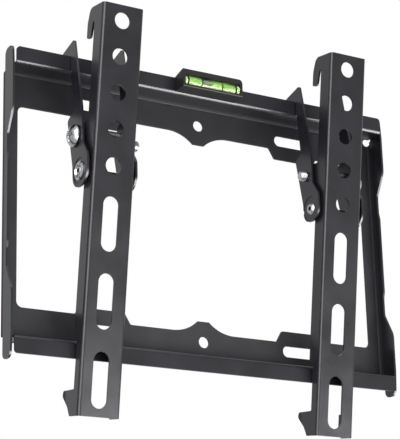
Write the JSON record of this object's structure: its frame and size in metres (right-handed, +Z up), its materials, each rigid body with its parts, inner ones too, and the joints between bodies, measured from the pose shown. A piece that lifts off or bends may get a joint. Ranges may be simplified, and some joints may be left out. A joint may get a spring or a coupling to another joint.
{
  "type": "tv mount",
  "caption": "Tilting wall bracket for a flat screen: folded wall plate with a spirit level, and two hooked arms that slide along its top rail and tilt.",
  "frame": {"origin": "middle of the wall plate's fixing pattern, on the wall", "axes": "+Z up, +X to the right as seen from the room, +Y into the wall; the screen is on the -Y side"},
  "size_m": [0.244, 0.0526, 0.221],
  "materials": {
    "black_coat": "satin black powder coat on folded steel",
    "black_plastic": "moulded, satin",
    "clear_acrylic": "clear, polished",
    "pale_acrylic": "pale, smooth",
    "green_liquid": "dyed level liquid",
    "black_ink": "printed rings",
    "zinc": "bright zinc plate",
    "dark_steel": "black oxide"
  },
  "bodies": {
    "plate": {"wall_plate": "black_coat", "level_housing": "black_plastic", "level_vial": "clear_acrylic", "level_plugs": "pale_acrylic", "level_liquid": "green_liquid", "level_marks": "black_ink"},
    "left_hook": {"left_outer_hook_plate": "black_coat", "left_inner_hook_plate": "black_coat", "left_lock_bolt": "zinc", "left_lock_sleeve": "dark_steel", "left_pivot_rivet": "zinc", "left_pivot_sleeve": "dark_steel"},
    "left_tilt_arm": {"left_arm": "black_coat"},
    "right_hook": {"right_outer_hook_plate": "black_coat", "right_inner_hook_plate": "black_coat", "right_lock_bolt": "zinc", "right_lock_sleeve": "dark_steel", "right_pivot_rivet": "zinc", "right_pivot_sleeve": "dark_steel"},
    "right_tilt_arm": {"right_arm": "black_coat"}
  },
  "joints": [
    {"name": "left_slide", "type": "slide", "parent": "plate", "child": "left_hook", "axis": [1, 0, 0], "range_m": [-0.03, 0.033]},
    {"name": "left_tilt", "type": "hinge", "parent": "left_hook", "child": "left_tilt_arm", "pos_m": [-0.07395, -0.0266, 0.01475], "axis": [1, 0, 0], "range_deg": [-8.9, 0]},
    {"name": "right_slide", "type": "slide", "parent": "plate", "child": "right_hook", "axis": [1, 0, 0], "range_m": [-0.033, 0.03]},
    {"name": "right_tilt", "type": "hinge", "parent": "right_hook", "child": "right_tilt_arm", "pos_m": [0.07325, -0.0266, 0.01475], "axis": [1, 0, 0], "range_deg": [-8.9, 0]}
  ]
}
